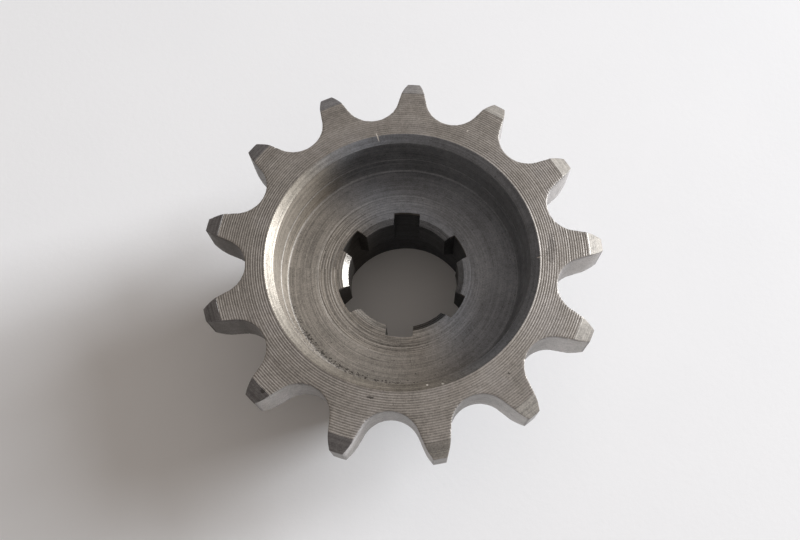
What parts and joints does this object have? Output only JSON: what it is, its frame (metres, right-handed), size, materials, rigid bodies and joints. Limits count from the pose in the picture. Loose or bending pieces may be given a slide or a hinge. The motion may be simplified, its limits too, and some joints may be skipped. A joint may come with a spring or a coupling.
{
  "type": "chain sprocket",
  "caption": "Chain sprocket in one piece of turned steel: bevel-tipped chain teeth round a deep open recess, a splined bore through its floor and a hollow round hub below.",
  "frame": {"origin": "on the bore's axis, in the plane of the hub's end face, which the part stands on", "axes": "+Z along the bore's axis towards the recessed face; +Y through the middle of one tooth, which is also the middle of one spline groove; +X completes the frame"},
  "size_m": [0.0574, 0.057, 0.0237],
  "materials": {
    "sprocket": "turned, bare"
  },
  "bodies": {
    "root": {"sprocket": "sprocket"}
  },
  "joints": []
}
